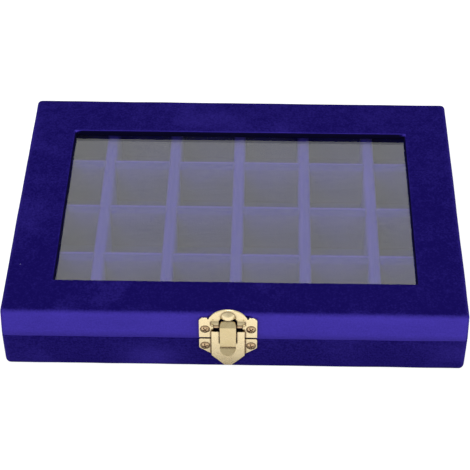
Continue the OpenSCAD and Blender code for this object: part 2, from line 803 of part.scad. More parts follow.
module latch_lever() color(brass_pale) at_latch() {
    difference() {
        intersection() {
            across(lever_w) lever_side();
            linear_extrude(2 * lever_face) lever_outline(-crease_drop - lever_w, 0, 0);
        }
        across(lever_w - 2 * lever_t) lever_hollow();
        across(2 * lever_w) translate([lever_pin_out, lever_pin_up]) circle(lever_pin_r + turn_fit);
    }
    finger_lip();
    hook();
}

// ---------- Assembly ----------

base_wall_ends(-1);  // base_front_wall
base_wall_ends(1);  // base_back_wall
base_wall_sides(-1);  // base_left_wall
base_wall_sides(1);  // base_right_wall
base_bottom_board();
base_velvet_cover();
base_underside_sheet();
tray_floor_pad();
tray_liner_long(-1);  // tray_liner_front
tray_liner_long(1);  // tray_liner_back
tray_liner_short(-1);  // tray_liner_left
tray_liner_short(1);  // tray_liner_right
row_divider(0);  // row_divider_1
row_divider(1);  // row_divider_2
row_divider(2);  // row_divider_3
column_divider(0);  // column_divider_1
column_divider(1);  // column_divider_2
column_divider(2);  // column_divider_3
column_divider(3);  // column_divider_4
column_divider(4);  // column_divider_5
hinge_base_leaf(-1);  // hinge_left_base_leaf
hinge_base_leaf(1);  // hinge_right_base_leaf
hinge_pin(-1);  // hinge_left_pin
hinge_pin(1);  // hinge_right_pin
hinge_screws(-1);  // hinge_base_screws
latch_keeper_plate();
latch_keeper_screws();
lid_wall_ends(-1);  // lid_front_wall
lid_wall_ends(1);  // lid_back_wall
lid_wall_sides(-1);  // lid_left_wall
lid_wall_sides(1);  // lid_right_wall
lid_rail_long(-1);  // lid_front_rail
lid_rail_long(1);  // lid_back_rail
lid_rail_short(-1);  // lid_left_rail
lid_rail_short(1);  // lid_right_rail
lid_velvet_cover();
glass_pane();
glazing_strip_long(-1);  // glazing_strip_front
glazing_strip_long(1);  // glazing_strip_back
glazing_strip_short(-1);  // glazing_strip_left
glazing_strip_short(1);  // glazing_strip_right
hinge_lid_leaf(-1);  // hinge_left_lid_leaf
hinge_lid_leaf(1);  // hinge_right_lid_leaf
hinge_screws(1);  // hinge_lid_screws
latch_catch_plate();
latch_catch_screws();
latch_pin();
latch_lever();
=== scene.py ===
"""Ring display box: velvet-covered boards, a glazed lid, a tray of ring cells and a brass latch."""
import math

import bmesh
import bpy
from mathutils import Matrix, Vector, noise


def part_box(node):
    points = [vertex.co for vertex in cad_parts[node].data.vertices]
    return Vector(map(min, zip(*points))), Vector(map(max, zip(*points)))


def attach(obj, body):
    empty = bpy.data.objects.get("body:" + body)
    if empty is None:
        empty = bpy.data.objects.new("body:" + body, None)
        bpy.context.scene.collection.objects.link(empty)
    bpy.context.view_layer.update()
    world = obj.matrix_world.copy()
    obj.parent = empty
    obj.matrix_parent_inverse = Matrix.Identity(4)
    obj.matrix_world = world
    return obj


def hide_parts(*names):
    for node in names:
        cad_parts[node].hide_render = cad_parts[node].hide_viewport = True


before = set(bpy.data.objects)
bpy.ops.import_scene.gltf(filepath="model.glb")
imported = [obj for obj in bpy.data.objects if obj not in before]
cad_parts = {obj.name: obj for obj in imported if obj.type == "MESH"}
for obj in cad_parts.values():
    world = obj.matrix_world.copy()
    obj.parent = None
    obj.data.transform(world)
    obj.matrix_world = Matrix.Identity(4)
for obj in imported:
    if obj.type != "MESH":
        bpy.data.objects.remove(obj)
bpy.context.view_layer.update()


# ---------- Camera ----------
# A long lens above the latch side, turned a little to the right of the box's middle. Blender
# works in metres, and sizes on the box are given in millimetres.
MM = 0.001
VIEW_ELEVATION = math.radians(41.12)
VIEW_AZIMUTH = math.radians(1.276)
VIEW_ROLL = math.radians(-0.069)
VIEW_DISTANCE = 779.2 * MM
VIEW_TARGET = Vector((-1.29, 0, 11.16)) * MM
NEAREST_SEEN = 50 * MM
SENSOR_WIDTH = 36
# Focal length and width of the rendered image, both in pixels
FOCAL_PIXELS = 1675.6
IMAGE_PIXELS = 470

towards_camera = Vector((
    math.sin(VIEW_AZIMUTH) * math.cos(VIEW_ELEVATION),
    -math.cos(VIEW_AZIMUTH) * math.cos(VIEW_ELEVATION),
    math.sin(VIEW_ELEVATION),
))
camera_data = bpy.data.cameras.new("camera")
camera_data.sensor_width = SENSOR_WIDTH
camera_data.lens = FOCAL_PIXELS / IMAGE_PIXELS * SENSOR_WIDTH
camera_data.clip_start = NEAREST_SEEN
camera = bpy.data.objects.new("camera", camera_data)
camera.matrix_world = (
    Matrix.Translation(VIEW_TARGET + towards_camera * VIEW_DISTANCE)
    @ towards_camera.to_track_quat("Z", "Y").to_matrix().to_4x4()
    @ Matrix.Rotation(VIEW_ROLL, 4, "Z")
)
bpy.context.scene.collection.objects.link(camera)
bpy.context.scene.camera = camera
bpy.context.scene.view_settings.view_transform = "Standard"


# ---------- Studio ----------
# A white room with three large soft lamps and a matt floor that takes the box's soft shadow.
# The camera, metal and glass see the room as white. Metal also shows its darker side, where
# the camera stands, and the shade on the floor close to the box.
ROOM_LIGHT = 0.5
DARK_SIDE = Vector((0.1, -0.78, 0.62))
# How far a direction faces the dark side where that starts to darken, and where it is darkest
DARK_SIDE_FACING = (0.72, 0.93)
DARK_SIDE_GLOSS = 0.82
FLOOR_SIZE = 4.0
FLOOR_GAP = 0.05 * MM
# Paint of the floor as it lights the box, and its glow and paint as the camera sees it
FLOOR_PAINT = (0.8, 0.8, 0.8, 1)
SEEN_FLOOR_GLOW = 0.88
SEEN_FLOOR_PAINT = (0.3, 0.3, 0.3, 1)
# Its glow and reflectance in metal, close to the box and away from it
GLOSSY_FLOOR_GLOW = (0.06, 0.26)
GLOSSY_FLOOR_PAINT = (0.3, 1.0)
# How far the box shades the floor, and how open the floor is in full shade and out of it
SHADE_REACH = 60 * MM
SHADE_OPENNESS = (0.5, 0.8)
OCCLUSION_RAYS = 8
WHITE = (1, 1, 1, 1)
# Name, place and width in metres, and power in watts of each lamp, all aimed at the box
LAMPS = [
    ("key_lamp", (-0.5, -0.9, 1.1), 0.7, 9.0),
    ("fill_lamp", (0.9, -0.6, 0.7), 0.7, 4.0),
    ("back_lamp", (0.1, 0.62, 1.3), 0.6, 5.0),
]
# Only this lamp shows in the metal
LAMP_IN_METAL = "back_lamp"


def add_node(tree, kind, inputs=None, **settings):
    """Adds a shader node. inputs gives each socket a value, or the socket that feeds it."""
    made = tree.nodes.new("ShaderNode" + kind)
    for key, value in settings.items():
        setattr(made, key, value)
    for key, value in (inputs or {}).items():
        if isinstance(value, bpy.types.NodeSocket):
            tree.links.new(value, made.inputs[key])
        else:
            made.inputs[key].default_value = value
    return made


def seen_directly(tree):
    """1 for rays from the camera, off metal or through glass, which see the room as white."""
    path = add_node(tree, "LightPath").outputs
    either = add_node(tree, "Math", {0: path["Is Camera Ray"], 1: path["Is Glossy Ray"]},
                      operation="MAXIMUM")
    any_of_them = add_node(tree, "Math", {0: either.outputs[0], 1: path["Is Transmission Ray"]},
                           operation="MAXIMUM")
    return any_of_them.outputs[0]


room = bpy.data.worlds.new("white_room")
bpy.context.scene.world = room
room.use_nodes = True
tree = room.node_tree
tree.nodes.clear()
towards = add_node(tree, "TexCoord").outputs["Generated"]
facing = add_node(tree, "VectorMath", {0: towards, 1: DARK_SIDE}, operation="DOT_PRODUCT")
darker = add_node(tree, "MapRange", {
    "Value": facing.outputs["Value"],
    "From Min": DARK_SIDE_FACING[0], "From Max": DARK_SIDE_FACING[1],
    "To Min": 1.0, "To Max": DARK_SIDE_GLOSS,
}, interpolation_type="SMOOTHSTEP")
in_metal = add_node(tree, "LightPath").outputs["Is Glossy Ray"]
bright = add_node(tree, "Mix", {0: in_metal, 2: 1.0, 3: darker.outputs[0]})
strength = add_node(tree, "Mix", {0: seen_directly(tree), 2: ROOM_LIGHT, 3: bright.outputs[0]})
background = add_node(tree, "Background", {"Strength": strength.outputs[0]})
add_node(tree, "OutputWorld", {"Surface": background.outputs[0]})

for lamp_name, place, width, power in LAMPS:
    lamp_data = bpy.data.lights.new(lamp_name, "AREA")
    lamp_data.size = width
    lamp_data.energy = power
    lamp = bpy.data.objects.new(lamp_name, lamp_data)
    lamp.location = place
    lamp.visible_glossy = lamp_name == LAMP_IN_METAL
    lamp.visible_transmission = False
    lamp.rotation_euler = Vector(place).to_track_quat("Z", "Y").to_euler()
    bpy.context.scene.collection.objects.link(lamp)


def new_piece(name, bm, material, body=None):
    """Makes an object of a bmesh, smooth-shaded, with its place in its mesh."""
    mesh = bpy.data.meshes.new(name)
    bm.to_mesh(mesh)
    bm.free()
    mesh.materials.append(material)
    mesh.shade_smooth()
    piece = bpy.data.objects.new(name, mesh)
    bpy.context.scene.collection.objects.link(piece)
    if body:
        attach(piece, body)
    return piece


def new_material(name):
    """An empty material and its node tree."""
    material = bpy.data.materials.new(name)
    material.use_nodes = True
    material.node_tree.nodes.clear()
    return material, material.node_tree


floor_paint, tree = new_material("matt_white_floor")
open_floor = add_node(tree, "AmbientOcclusion", {"Distance": SHADE_REACH}, samples=OCCLUSION_RAYS)
glossy_look = [
    add_node(tree, "MapRange", {
        "Value": open_floor.outputs["AO"],
        "From Min": SHADE_OPENNESS[0], "From Max": SHADE_OPENNESS[1],
        "To Min": close, "To Max": away,
    }, interpolation_type="SMOOTHSTEP").outputs[0]
    for close, away in (GLOSSY_FLOOR_GLOW, GLOSSY_FLOOR_PAINT)
]
looks = []
for glow_strength, shown_paint in ((SEEN_FLOOR_GLOW, SEEN_FLOOR_PAINT), glossy_look):
    glow = add_node(tree, "Emission", {"Color": WHITE, "Strength": glow_strength})
    dimmed = add_node(tree, "BsdfDiffuse", {"Color": shown_paint})
    looks.append(add_node(tree, "AddShader", {0: glow.outputs[0], 1: dimmed.outputs[0]}))
in_metal = add_node(tree, "LightPath").outputs["Is Glossy Ray"]
shown = add_node(tree, "MixShader", {0: in_metal, 1: looks[0].outputs[0], 2: looks[1].outputs[0]})
plain = add_node(tree, "BsdfDiffuse", {"Color": FLOOR_PAINT})
either = add_node(tree, "MixShader", {
    0: seen_directly(tree), 1: plain.outputs[0], 2: shown.outputs[0],
})
add_node(tree, "OutputMaterial", {"Surface": either.outputs[0]})

bm = bmesh.new()
bmesh.ops.create_grid(bm, x_segments=1, y_segments=1, size=FLOOR_SIZE / 2)
bmesh.ops.translate(bm, verts=bm.verts, vec=(0, 0, -FLOOR_GAP))
floor = new_piece("floor", bm, floor_paint)


# ---------- Boards ----------
# The walls and the bottom board are pressed greyboard, a recycled grey card that is cut to size
# and glued up at the corners: a soft matt grey with darker and lighter fibres.
GREYBOARD = "8f887c"
GREYBOARD_FLECK = "6a6459"
FIBRE_LENGTH = 1.5 * MM
FIBRE_DEPTH = 0.1 * MM
SIDES = ("front", "back", "left", "right")


def paint(hex_code):
    """Linear colour of an sRGB hex code."""
    channels = [int(hex_code[i : i + 2], 16) / 255 for i in (0, 2, 4)]
    return [*(c / 12.92 if c <= 0.04045 else ((c + 0.055) / 1.055) ** 2.4 for c in channels), 1.0]


def dress(material, *names):
    """Gives CAD nodes their material."""
    for name in names:
        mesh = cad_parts[name].data
        mesh.materials.clear()
        mesh.materials.append(material)


greyboard, tree = new_material("greyboard")
place = add_node(tree, "TexCoord").outputs["Object"]
fibre = add_node(tree, "TexNoise", {"Vector": place, "Scale": 1 / FIBRE_LENGTH, "Detail": 6.0})
grain = add_node(tree, "Bump", {
    "Height": fibre.outputs[0], "Strength": 0.3, "Distance": FIBRE_DEPTH,
})
flecked = add_node(tree, "Mix", {
    0: fibre.outputs[0], 6: paint(GREYBOARD_FLECK), 7: paint(GREYBOARD),
}, data_type="RGBA")
board = add_node(tree, "BsdfPrincipled", {
    "Base Color": flecked.outputs[2],
    "Roughness": 0.9,
    "Normal": grain.outputs[0],
})
add_node(tree, "OutputMaterial", {"Surface": board.outputs[0]})
dress(greyboard, "base_bottom_board")
dress(greyboard, *(f"{part}_{side}_wall" for part in ("base", "lid") for side in SIDES))


# ---------- Underside sheet ----------
# Black kraft paper glued over the hems under the base, matt with a fine wood-fibre grain and
# a little greyer where the fibres lie open.
KRAFT_BLACK = "1b1a1d"
KRAFT_WORN = "2c2a2d"
PAPER_GRAIN = 0.8 * MM
PAPER_DEPTH = 0.05 * MM

kraft_paper, tree = new_material("black_kraft_paper")
place = add_node(tree, "TexCoord").outputs["Object"]
fibre = add_node(tree, "TexNoise", {"Vector": place, "Scale": 1 / PAPER_GRAIN, "Detail": 5.0})
grain = add_node(tree, "Bump", {
    "Height": fibre.outputs[0], "Strength": 0.25, "Distance": PAPER_DEPTH,
})
flecked = add_node(tree, "Mix", {
    0: fibre.outputs[0], 6: paint(KRAFT_BLACK), 7: paint(KRAFT_WORN),
}, data_type="RGBA")
paper = add_node(tree, "BsdfPrincipled", {
    "Base Color": flecked.outputs[2],
    "Roughness": 0.85,
    "Normal": grain.outputs[0],
})
add_node(tree, "OutputMaterial", {"Surface": paper.outputs[0]})
dress(kraft_paper, "base_underside_sheet")


# ---------- Velvet ----------
# Royal blue cotton velvet, a dense woven pile about 0.5 mm long. Light and shade are painted into
# its colour: bright violet blue where the pile leans towards the light, almost navy where it leans
# away. It is also patchy where it was brushed.
# Painted light: the velvet shaded and lit, and the painted shade of a corner
VELVET_SHADED = "130a55"
VELVET_LIT = "4638ab"
VELVET_PAINTED_SHADE = "0b0926"
VELVET_SHEEN = "3a30c8"
VELVET_LINT = "9a96d4"
# Noise stays mostly within this range, and the sum of patches and streaks within the second
NOISE_RANGE = (0.3, 0.7)
STREAKED_RANGE = (0.5, 1.0)
BRUSHED_PATCH = 34 * MM
PATCH_SHARE = 0.5
# Streaks lie level on the walls, this many times as long as they are high
BRUSHED_STREAK = 5 * MM
STREAK_STRETCH = 5
# Where a patch was brushed up on top of that, in a few places only, and how far
BRUSH_MARK_RANGE = (0.56, 0.74)
BRUSH_MARK = 0.07
# Real tufts are 0.15 mm wide, too fine to show, so they are drawn wider
TUFT = 0.8 * MM
TUFT_DEPTH = 0.16 * MM
TUFT_LEAN = 0.1
# A white fibre of lint lies in some cells of a loose grid, in fewer the higher the threshold
LINT_SPACING = 11 * MM
LINT_WIDTH = 0.27 * MM
LINT_THRESHOLD = 0.6


def velvet(name, away, towards, patchiness, sheen):
    """Velvet whose patches take it up to patchiness away from the lean of its pile.

    Each point's attribute says how the pile leans there, with light and shade painted in: 0 away
    from the light, 1 towards it, and -1 painted shade, nearly black, in a corner that swallows the
    light.
    """
    material, tree = new_material(name)
    place = add_node(tree, "TexCoord").outputs["Object"]
    patch = add_node(tree, "TexNoise", {
        "Vector": place, "Scale": 1 / BRUSHED_PATCH,
        "Detail": 1.0, "Roughness": 0.4, "Distortion": 0.6,
    }).outputs[0]
    level = add_node(tree, "VectorMath", {0: place, 1: (1, 1, STREAK_STRETCH)},
                     operation="MULTIPLY")
    streak = add_node(tree, "TexNoise", {
        "Vector": level.outputs[0], "Scale": 1 / BRUSHED_STREAK, "Detail": 3.0,
    })
    both = add_node(tree, "Math", {0: patch, 1: PATCH_SHARE, 2: streak.outputs[0]},
                    operation="MULTIPLY_ADD")
    lean = add_node(tree, "MapRange", {
        "Value": both.outputs[0],
        "From Min": STREAKED_RANGE[0], "From Max": STREAKED_RANGE[1],
        "To Min": -patchiness, "To Max": patchiness,
    })
    brushed = add_node(tree, "MapRange", {
        "Value": patch,
        "From Min": BRUSH_MARK_RANGE[0], "From Max": BRUSH_MARK_RANGE[1],
        "To Min": 0.0, "To Max": BRUSH_MARK,
    }, interpolation_type="SMOOTHSTEP")
    marked = add_node(tree, "Math", {0: lean.outputs[0], 1: brushed.outputs[0]}, operation="ADD")
    nap_shading = add_node(tree, "Attribute", attribute_name="nap_shading").outputs["Fac"]
    leaning = add_node(tree, "Math", {0: nap_shading, 1: marked.outputs[0]},
                       operation="ADD", use_clamp=True)
    tuft = add_node(tree, "TexNoise", {"Vector": place, "Scale": 1 / TUFT, "Detail": 2.0})
    ruffled = add_node(tree, "MapRange", {
        "Value": tuft.outputs[0],
        "From Min": NOISE_RANGE[0], "From Max": NOISE_RANGE[1],
        "To Min": -TUFT_LEAN, "To Max": TUFT_LEAN,
    })
    shade = add_node(tree, "Math", {0: leaning.outputs[0], 1: ruffled.outputs[0]},
                     operation="ADD", use_clamp=True)
    lit_pile = add_node(tree, "Mix", {0: shade.outputs[0], 6: paint(away), 7: paint(towards)},
                        data_type="RGBA")
    # Painted shade: from 0 down to -1 the colour darkens to that of a shaded corner
    deep = add_node(tree, "MapRange", {"Value": nap_shading, "From Min": 0.0, "From Max": -1.0})
    pile = add_node(tree, "Mix", {
        0: deep.outputs[0], 6: lit_pile.outputs[2], 7: paint(VELVET_PAINTED_SHADE),
    }, data_type="RGBA")
    cells = add_node(tree, "TexVoronoi", {"Vector": place, "Scale": 1 / LINT_SPACING}).outputs
    near = add_node(tree, "Math", {0: cells["Distance"], 1: LINT_WIDTH / LINT_SPACING},
                    operation="LESS_THAN")
    some = add_node(tree, "Math", {0: cells["Color"], 1: LINT_THRESHOLD},
                    operation="GREATER_THAN")
    speck = add_node(tree, "Math", {0: near.outputs[0], 1: some.outputs[0]},
                     operation="MULTIPLY")
    linty = add_node(tree, "Mix", {
        0: speck.outputs[0], 6: pile.outputs[2], 7: paint(VELVET_LINT),
    }, data_type="RGBA")
    grain = add_node(tree, "Bump", {
        "Height": tuft.outputs[0], "Strength": 0.6, "Distance": TUFT_DEPTH,
    })
    cloth = add_node(tree, "BsdfPrincipled", {
        "Base Color": linty.outputs[2],
        "Roughness": 0.9,
        "Specular IOR Level": 0.02,
        "Sheen Weight": sheen,
        "Sheen Roughness": 0.4,
        "Sheen Tint": paint(VELVET_SHEEN),
        "Normal": grain.outputs[0],
    })
    add_node(tree, "OutputMaterial", {"Surface": cloth.outputs[0]})
    return material


royal_velvet = velvet("royal_blue_velvet", VELVET_SHADED, VELVET_LIT,
                      patchiness=0.055, sheen=0.06)


# ---------- Velvet covers ----------
# One piece of velvet is glued round the lid and one round the base. Each is pulled over the
# rounded edges, turned in at its opening and over its rim, and follows the slightly uneven
# boards, so no edge is quite straight.
VELVET_THICKNESS = 0.45 * MM
SLACK = 0.35 * MM
CORNER_RADIUS = 2.2 * MM
LID_ROLL = 1.9 * MM
BASE_ROLL = 2.6 * MM
RIM_ROLL = 0.6 * MM
WINDOW_ROLL = 1.0 * MM
# Faces across each rolled edge of the box, and across each folded edge of the velvet
ROLL_STEPS = 6
FOLD_STEPS = 4
# How far the velvet stands in from the window frame, and off the pane and the linings
WINDOW_WRAP = 0.6 * MM
PANE_GAP = 0.05 * MM
LINING_GAP = 0.1 * MM
COVER_GRID = 4 * MM
# How uneven the boards are, and over what length. On top comes this share of it, so many times
# as fine.
UNEVEN_HEIGHT = 0.13 * MM
UNEVEN_LENGTH = 26 * MM
FINER_SHARE = 0.4
FINER_TIMES = 3
# Points closer than this are one, and a face whose normal rises or falls this much is level
CLOSE = 0.01 * MM
LEVEL = 0.9
# Points are put in order along this slant, so that close ones merge alike in every run
SLANT = Vector((1.0, 0.3719, 0.1137))


def round_edges(bm, radius, steps, chosen):
    """Rounds the edges that chosen picks."""
    edges = [edge for edge in bm.edges if chosen(edge)]
    bmesh.ops.bevel(bm, geom=edges, offset=radius, offset_type="OFFSET", segments=steps,
                    profile=0.5, affect="EDGES", material=-1)


def at_height(edge, z):
    """Whether both ends of an edge lie at a height."""
    return all(abs(vert.co.z - z) < CLOSE for vert in edge.verts)


def cut_across(bm, axis, places):
    """Cuts the mesh along planes across an axis, 0 for X, 1 for Y and 2 for Z."""
    for position in places:
        point, normal = Vector(), Vector()
        point[axis], normal[axis] = position, 1.0
        bmesh.ops.bisect_plane(bm, geom=bm.verts[:] + bm.edges[:] + bm.faces[:],
                               dist=CLOSE / 10, plane_co=point, plane_no=normal)


def turn_in(bm, edges, move):
    """Extrudes boundary edges and moves the new ones."""
    made = bmesh.ops.extrude_edge_only(bm, edges=edges)["geom"]
    for vert in (item for item in made if isinstance(item, bmesh.types.BMVert)):
        move(vert)


def wrapped_cover(low, high, rim_z, face_z, roll, opening, fold_z, lining_in, lining_z):
    """Velvet round a box from its rim to its face. opening is (low x, low y, high x, high y)."""
    width, depth = high.x - low.x, high.y - low.y
    outwards = 1 if face_z > rim_z else -1
    bm = bmesh.new()
    bmesh.ops.create_cube(bm, size=1)
    bmesh.ops.scale(bm, verts=bm.verts, vec=(width, depth, abs(face_z - rim_z)))
    bmesh.ops.translate(bm, verts=bm.verts, vec=(0, 0, (rim_z + face_z) / 2))
    face_verts = [vert for vert in bm.verts if abs(vert.co.z - face_z) < CLOSE]
    slack_in = (1 - 2 * SLACK / width, 1 - 2 * SLACK / depth, 1)
    bmesh.ops.scale(bm, verts=face_verts, vec=slack_in)
    open_side = [face for face in bm.faces if face.normal.z * outwards < -LEVEL]
    bmesh.ops.delete(bm, geom=open_side, context="FACES_ONLY")
    round_edges(bm, CORNER_RADIUS, ROLL_STEPS,
                lambda edge: abs(edge.verts[0].co.z - edge.verts[1].co.z) > roll)
    round_edges(bm, roll, ROLL_STEPS, lambda edge: at_height(edge, face_z))
    # The opening: the window of the lid, or the middle of the underside
    x0, y0, x1, y1 = opening
    cut_across(bm, 0, (x0, x1))
    cut_across(bm, 1, (y0, y1))

    def inside(point):
        return x0 - CLOSE < point.x < x1 + CLOSE and y0 - CLOSE < point.y < y1 + CLOSE

    middle = [face for face in bm.faces
              if abs(face.normal.z) > LEVEL and inside(face.calc_center_median())]
    bmesh.ops.delete(bm, geom=middle, context="FACES")
    border = [edge for edge in bm.edges if edge.is_boundary and at_height(edge, face_z)]
    turn_in(bm, border, lambda vert: setattr(vert.co, "z", fold_z))
    if abs(fold_z - face_z) > WINDOW_ROLL:
        round_edges(bm, WINDOW_ROLL, FOLD_STEPS, lambda edge: at_height(edge, face_z)
                    and all(inside(vert.co) for vert in edge.verts))
    # The rim: turned in over the wall, and down inside it where there is a lining
    shrink = (1 - 2 * lining_in / width, 1 - 2 * lining_in / depth)
    rim = [edge for edge in bm.edges if edge.is_boundary and at_height(edge, rim_z)]

    def move_in(vert):
        vert.co.x *= shrink[0]
        vert.co.y *= shrink[1]

    turn_in(bm, rim, move_in)
    if abs(lining_z - rim_z) > CLOSE:
        rim = [edge for edge in bm.edges if edge.is_boundary and at_height(edge, rim_z)]
        turn_in(bm, rim, lambda vert: setattr(vert.co, "z", lining_z))
    round_edges(bm, RIM_ROLL, FOLD_STEPS,
                lambda edge: at_height(edge, rim_z) and not edge.is_boundary
                and len({round(face.normal.z) for face in edge.link_faces}) > 1)
    # A grid of points, so that the cover can follow the boards. Along the length and the depth
    # the last cut would be on the rolled edge, and is left out.
    for axis, last in ((0, 0), (1, 0), (2, 1)):
        cuts = int((high[axis] - low[axis]) / COVER_GRID) + last
        cut_across(bm, axis, [low[axis] + COVER_GRID * i for i in range(1, cuts)])
    bm.verts.sort(key=lambda vert: vert.co.dot(SLANT))
    bmesh.ops.remove_doubles(bm, verts=bm.verts, dist=CLOSE)
    bmesh.ops.recalc_face_normals(bm, faces=bm.faces)
    outermost = max(bm.faces, key=lambda face: face.calc_center_median().z * outwards)
    if outermost.normal.z * outwards < 0:
        bmesh.ops.reverse_faces(bm, faces=bm.faces)
    bm.normal_update()
    for vert in bm.verts:
        bump = noise.noise(vert.co / UNEVEN_LENGTH)
        bump += FINER_SHARE * noise.noise(vert.co / UNEVEN_LENGTH * FINER_TIMES)
        vert.co += vert.normal * bump * UNEVEN_HEIGHT
    return bm


def lay_nap(piece, lean):
    """Writes how the pile leans at each point, with its painted light and shade, given the point's
    place and normal.
    """
    values = piece.data.attributes.new("nap_shading", "FLOAT", "POINT").data
    for vert, value in zip(piece.data.vertices, values):
        value.value = lean(vert.co, vert.normal)


def finish_cover(name, bm, body, node):
    """Puts a velvet cover in place of the plain one, and gives it its thickness, inwards."""
    piece = new_piece(name, bm, royal_velvet, body)
    solidify = piece.modifiers.new("thickness", "SOLIDIFY")
    solidify.thickness = VELVET_THICKNESS
    solidify.offset = -1
    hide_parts(node)
    return piece


lid_low, lid_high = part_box("lid_velvet_cover")
pane_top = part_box("glass_pane")[1].z
strip_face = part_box("glazing_strip_left")[1].x
window = (
    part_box("lid_left_rail")[1].x + WINDOW_WRAP,
    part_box("lid_front_rail")[1].y + WINDOW_WRAP,
    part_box("lid_right_rail")[0].x - WINDOW_WRAP,
    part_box("lid_back_rail")[0].y - WINDOW_WRAP,
)
bm = wrapped_cover(
    lid_low, lid_high, rim_z=lid_low.z, face_z=lid_high.z, roll=LID_ROLL,
    opening=window, fold_z=pane_top + PANE_GAP,
    lining_in=strip_face - lid_low.x, lining_z=lid_low.z,
)
lid_velvet = finish_cover("lid_velvet", bm, "lid", "lid_velvet_cover")

base_low, base_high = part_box("base_velvet_cover")
sheet_low, sheet_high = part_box("base_underside_sheet")
pad_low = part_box("tray_floor_pad")[0]
bm = wrapped_cover(
    base_low, base_high, rim_z=base_high.z, face_z=base_low.z, roll=BASE_ROLL,
    opening=(sheet_low.x, sheet_low.y, sheet_high.x, sheet_high.y),
    fold_z=base_low.z + LINING_GAP,
    lining_in=pad_low.x - LINING_GAP - base_low.x, lining_z=pad_low.z + LINING_GAP,
)
base_velvet = finish_cover("base_velvet", bm, "base", "base_velvet_cover")


# Nap of the lid, with light and shade painted in: at the back of its top, on its front, on its left
# and right, and a painted highlight along the bottom of its front
LID_TOP_NAP = 0.085
LID_FRONT_NAP = 0.86
LID_SIDE_NAP = 0.3
LID_RIM_HIGHLIGHT = 1.0
# It turns from top to front over the rolled edge, by this power of how far the edge faces front
FRONT_TURN = 1.5
# Nap of the base, with light painted in, and what its left and right add
BASE_NAP = 0.1
BASE_SIDE_NAP = 0.25
# Painted shade, nearly black, in the window's reveal and behind the latch
PAINTED_SHADE_NAP = -1.0
# The roll round the window has painted shade up to the first part of it, and a painted highlight
# up to the second at the back of the window
DARK_ROLL = 0.4 * WINDOW_ROLL
LIGHT_ROLL = 0.8 * WINDOW_ROLL
ROLL_HIGHLIGHT_NAP = 0.6
# A small light fleck lies on the velvet at the two back corners of the window
CORNER_FLECK = 0.9 * MM
CORNER_FLECK_NAP = 0.9
# A point whose normal rises more than this faces up
FACES_UP = 0.3
# Thumb and sleeve marks: centre and half size along X, Y and Z in mm, and how far the pile is up
THUMB_MARKS = (
    ((-35, -76, 6), (12, 5, 7), 0.3),
    ((95, -76, 11), (7, 5, 5), 0.18),
    ((-94, -12, 32), (7, 13, 4), 0.12),
    ((-52, -76, 26), (14, 5, 3), -0.08),
    ((28, -76, 23), (9, 5, 5), -0.12),
    ((62, -76, 30), (24, 5, 2.5), 0.12),
    ((-84, -76, 24), (6, 5, 5), -0.08),
)
# Place of the latch along the front, and half the width and the top of what it keeps in its shade
LATCH_X = -2.6 * MM
SHADED_HALF = 9 * MM
SHADED_TOP = 31 * MM
window_middle = (window[0] + window[2]) / 2
window_half = (window[2] - window[0]) / 2


def brushed_up(point):
    """How far the pile is pushed up at a point by all the marks."""
    total = 0.0
    for centre, reach, amount in THUMB_MARKS:
        away = sum(((point[i] / MM - centre[i]) / reach[i]) ** 2 for i in range(3))
        total += amount * math.exp(-away)
    return total


def behind_latch(point):
    """Whether a point lies in the shade behind the latch, where the pile is painted nearly black.
    """
    return (point.y < lid_low.y + MM and point.z < SHADED_TOP
            and abs(point.x - LATCH_X) < SHADED_HALF)


def lid_nap(point, normal):
    """Brushed towards the latch on the front, away from it on the top and inside the window, with
    light and shade painted in.
    """
    into_window = min(point.x - window[0], window[2] - point.x,
                      point.y - window[1], window[3] - point.y)
    from_corner = max(abs(abs(point.x - window_middle) - window_half), abs(point.y - window[3]))
    if from_corner < CORNER_FLECK and normal.z > FACES_UP:
        return CORNER_FLECK_NAP
    if into_window > -DARK_ROLL or behind_latch(point):
        return PAINTED_SHADE_NAP
    if into_window > -LIGHT_ROLL and point.y > window[3]:
        return ROLL_HIGHLIGHT_NAP
    if point.y < lid_low.y + RIM_ROLL and point.z < lid_low.z + 2 * RIM_ROLL:
        return LID_RIM_HIGHLIGHT
    top = LID_TOP_NAP * (point.y - lid_low.y) / (lid_high.y - lid_low.y)
    front = LID_FRONT_NAP * max(0.0, -normal.y) ** FRONT_TURN
    return min(1.0, top + front + LID_SIDE_NAP * abs(normal.x) + brushed_up(point))


def base_nap(point, normal):
    """Brushed up the walls, so the front is dark too, with light and shade painted in."""
    if behind_latch(point) and point.z > base_high.z - COVER_GRID:
        return PAINTED_SHADE_NAP
    return BASE_NAP + BASE_SIDE_NAP * abs(normal.x) + brushed_up(point)


lay_nap(lid_velvet, lid_nap)
lay_nap(base_velvet, base_nap)


# ---------- Tray ----------
# The floor pad, the lining strips and the strips under the glass are card covered in the same
# velvet, coloured as pile that leans away from the light and nearly black deep in the cells. The
# dividers are boards wrapped in velvet, half-lapped in to each other, with soft rounded top edges
# that carry a painted highlight, and painted shade down their sides.
# Painted light: the lining's colour shaded and lit
LINING_SHADED = "120c76"
LINING_LIT = "33289a"
ROWS = (1, 2, 3)
COLUMNS = (1, 2, 3, 4, 5)
# Nap on the top, painted highlight on the rounded rims and at the top of the sides of each kind
# of divider, and how far down its sides the painted light reaches before the painted shade
DIVIDER_NAPS = {"row": (0.12, 0.8, 0.7), "column": (0.56, 0.72, 0.45)}
SHADED_DEPTH = {"row": 9 * MM, "column": 14 * MM}
# A rim's normal rises less than this, and the rim that catches the light on a row faces back
FLAT_TOP = 0.95
FACES_BACK = 0.02
DIVIDER_ROLL = 0.8 * MM
DIVIDER_STEPS = 4
PILE = 0.25 * MM
# Edges sharper than this are rounded, and faces that bend less than the second are merged
SHARP = math.radians(30)
NEARLY_FLAT = math.radians(1)

